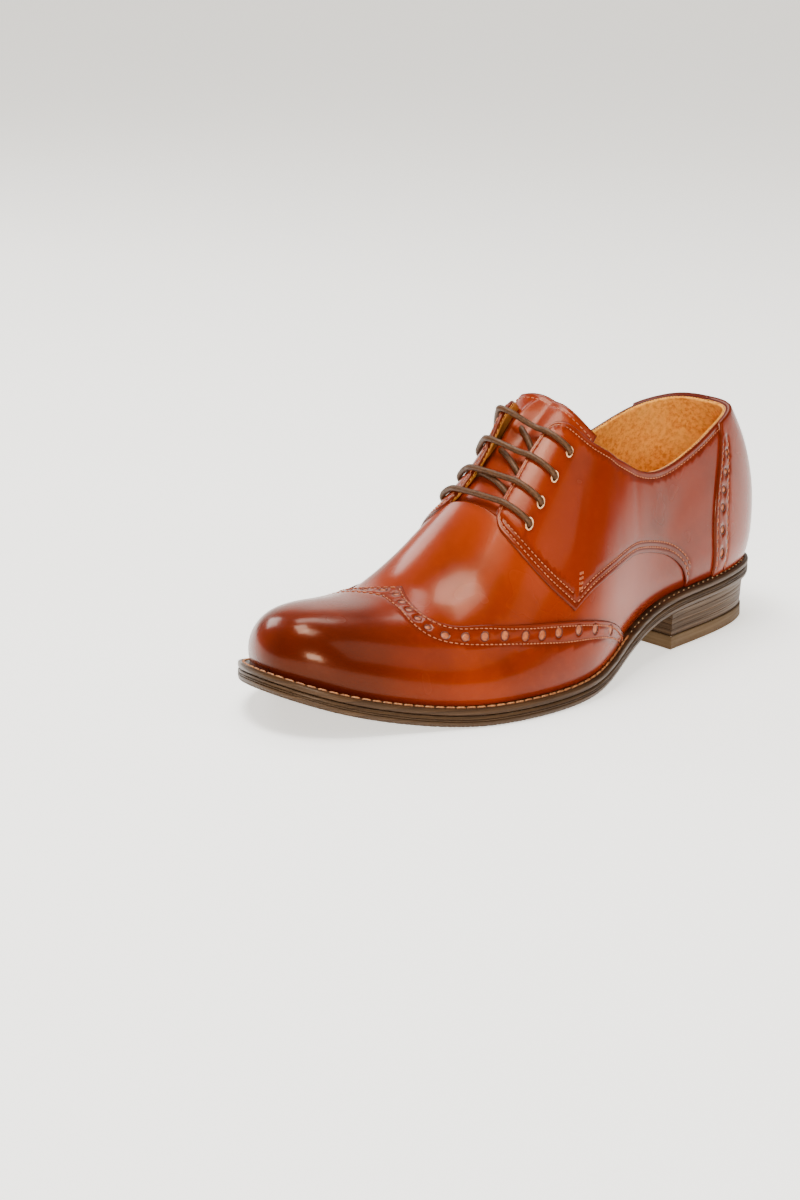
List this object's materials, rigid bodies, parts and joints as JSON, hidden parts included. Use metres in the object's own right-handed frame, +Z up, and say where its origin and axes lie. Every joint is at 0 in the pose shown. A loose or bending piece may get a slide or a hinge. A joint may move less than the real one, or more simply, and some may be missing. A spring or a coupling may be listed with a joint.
{
  "type": "wing-tip derby shoe",
  "caption": "Left men's wing-tip derby shoe in glossy brown leather, open laced front, stitched welt and stacked heel, standing empty.",
  "frame": {"origin": "on the floor, under the middle of the sole's outline box", "axes": "+Z up, toe towards -Y, outer (lateral) side towards +X"},
  "size_m": [0.1124, 0.2996, 0.1254],
  "materials": {
    "upper": "glossy brush-off leather, brown-red",
    "toe_cap": "glossy burnished leather",
    "heel_counter": "glossy leather",
    "tongue": "satin leather",
    "insole": "tan lining leather and suede",
    "welt": "dark brown stitched strip",
    "outsole": "dark brown edge, matt tread",
    "heel_stack": "stacked, dark brown",
    "top_lift": "pale brown, matt",
    "lace": "round waxed cotton"
  },
  "bodies": {
    "root": {"upper": "upper", "toe_cap": "toe_cap", "heel_counter": "heel_counter", "tongue": "tongue", "insole": "insole", "welt": "welt", "outsole": "outsole", "heel_stack": "heel_stack", "top_lift": "top_lift", "lace_bar_1": "lace", "lace_bar_2": "lace", "lace_bar_3": "lace", "lace_bar_4": "lace", "lace_cross_1": "lace", "lace_cross_2": "lace", "lace_cross_3": "lace"}
  },
  "joints": []
}
